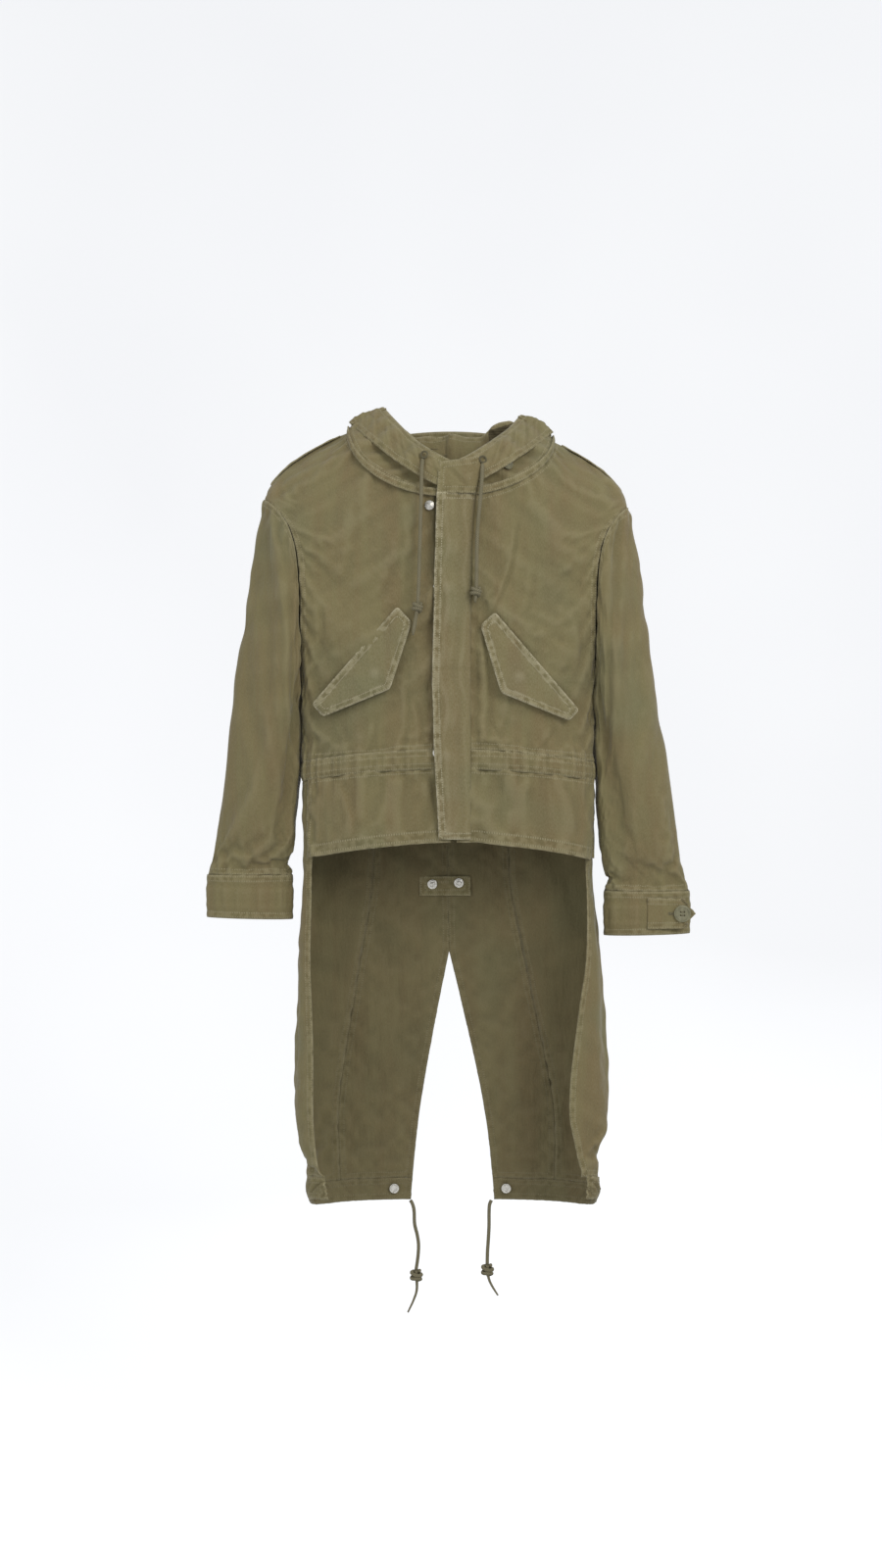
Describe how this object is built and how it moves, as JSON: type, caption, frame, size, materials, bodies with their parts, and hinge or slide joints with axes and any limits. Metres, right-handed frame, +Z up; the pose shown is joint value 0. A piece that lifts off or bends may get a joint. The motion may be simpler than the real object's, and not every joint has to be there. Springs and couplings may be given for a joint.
{
  "type": "hooded over-jacket with split tail",
  "caption": "Hooded cotton over-jacket with a cropped drawcord front, slanted pocket flaps and a long split tail at the back.",
  "frame": {"origin": "middle of the neck opening, at the height where the shoulder seams bear on a hanger", "axes": "+Z up, -Y is the front of the coat, +X the wearer's left"},
  "size_m": [0.695, 0.2204, 1.3172],
  "materials": {
    "cotton": "washed olive cotton sateen",
    "lining": "inner face of the cotton, darker",
    "cord": "braided cotton cord",
    "webbing": "ribbed webbing",
    "metal": "worn nickel plate",
    "button": "olive moulded button"
  },
  "bodies": {
    "coat": {"front_right": "cotton", "front_left": "cotton", "back_upper": "cotton", "waist_casing_right": "cotton", "waist_casing_left": "cotton", "waist_casing_back": "cotton", "skirt_right": "cotton", "skirt_left": "cotton", "tail_side_right": "cotton", "tail_centre_right": "cotton", "tail_side_left": "cotton", "tail_centre_left": "cotton", "neck_band": "cotton", "hood_brim_right": "cotton", "hood_brim_left": "cotton", "hood_side_right": "cotton", "hood_side_left": "cotton", "hood_back": "lining", "hood_strap": "webbing", "hood_snap": "cotton", "hood_eyelet_right": "cotton", "hood_eyelet_left": "cotton", "zip_tape_right": "lining", "zip_tape_left": "lining", "front_stud": "metal", "pocket_bag_right": "lining", "pocket_bag_left": "lining", "tail_tab": "cotton", "tail_stud_right": "metal", "tail_stud_left": "metal", "hood_cord_right": "cord", "hood_cord_left": "cord"},
    "arm_right": {"sleeve_right": "cotton", "cuff_right": "cotton"},
    "cuff_fastening_right": {"cuff_tab_right": "cotton", "cuff_button_right": "button"},
    "pocket_lid_right": {"pocket_flap_right": "cotton"},
    "shoulder_loop_right": {"shoulder_strap_right": "cotton"},
    "tail_leg_right": {"leg_side_right": "cotton", "leg_centre_right": "cotton", "tail_casing_right": "cotton", "tail_socket_right": "metal", "tail_cord_right": "cord", "tail_knot_right": "cord"},
    "arm_left": {"sleeve_left": "cotton", "cuff_left": "cotton"},
    "cuff_fastening_left": {"cuff_tab_left": "cotton", "cuff_button_left": "button"},
    "pocket_lid_left": {"pocket_flap_left": "cotton"},
    "shoulder_loop_left": {"shoulder_strap_left": "cotton"},
    "tail_leg_left": {"leg_side_left": "cotton", "leg_centre_left": "cotton", "tail_casing_left": "cotton", "tail_socket_left": "metal", "tail_cord_left": "cord", "tail_knot_left": "cord"},
    "fly": {"storm_flap": "cotton"},
    "slider": {"zip_slider": "metal", "zip_pull": "metal"},
    "hood_crown": {"hood_bag": "cotton"}
  },
  "joints": [
    {"name": "arm_lift_right", "type": "hinge", "parent": "coat", "child": "arm_right", "pos_m": [-0.263, 0, -0.088], "axis": [0, 1, 0], "range_deg": [0, 35]},
    {"name": "arm_lift_left", "type": "hinge", "parent": "coat", "child": "arm_left", "pos_m": [0.258, 0, -0.099], "axis": [0, -1, 0], "range_deg": [0, 35]},
    {"name": "cuff_tab_open_right", "type": "hinge", "parent": "arm_right", "child": "cuff_fastening_right", "pos_m": [-0.345, 0.0245, -0.65], "axis": [0, 0, 1], "range_deg": [0, 100]},
    {"name": "cuff_tab_open_left", "type": "hinge", "parent": "arm_left", "child": "cuff_fastening_left", "pos_m": [0.282, -0.0245, -0.673], "axis": [0, 0, -1], "range_deg": [0, 100]},
    {"name": "pocket_lift_right", "type": "hinge", "parent": "coat", "child": "pocket_lid_right", "pos_m": [-0.0706, -0.07517, -0.244], "axis": [-0.6613, 0.0827, -0.7455], "range_deg": [0, 110]},
    {"name": "pocket_lift_left", "type": "hinge", "parent": "coat", "child": "pocket_lid_left", "pos_m": [0.0647, -0.07591, -0.2517], "axis": [-0.6553, -0.0819, 0.7509], "range_deg": [0, 110]},
    {"name": "shoulder_loop_lift_right", "type": "hinge", "parent": "coat", "child": "shoulder_loop_right", "pos_m": [-0.25, 0, -0.052], "axis": [0, -1, 0], "range_deg": [0, 90]},
    {"name": "shoulder_loop_lift_left", "type": "hinge", "parent": "coat", "child": "shoulder_loop_left", "pos_m": [0.245, 0, -0.063], "axis": [0, 1, 0], "range_deg": [0, 90]},
    {"name": "tail_leg_swing_right", "type": "hinge", "parent": "coat", "child": "tail_leg_right", "pos_m": [0, 0.078, -0.745], "axis": [1, 0, 0], "range_deg": [0, 60]},
    {"name": "tail_leg_swing_left", "type": "hinge", "parent": "coat", "child": "tail_leg_left", "pos_m": [0, 0.078, -0.745], "axis": [1, 0, 0], "range_deg": [0, 60]},
    {"name": "fly_open", "type": "hinge", "parent": "coat", "child": "fly", "pos_m": [0.032, -0.0735, -0.3], "axis": [0, 0, 1], "range_deg": [0, 70]},
    {"name": "zip_travel", "type": "slide", "parent": "coat", "child": "slider", "axis": [0, 0, -1], "range_m": [0, 0.42]},
    {"name": "hood_raise", "type": "hinge", "parent": "coat", "child": "hood_crown", "pos_m": [0.004, 0.068, 0.021], "axis": [1, 0, 0], "range_deg": [0, 140]}
  ]
}
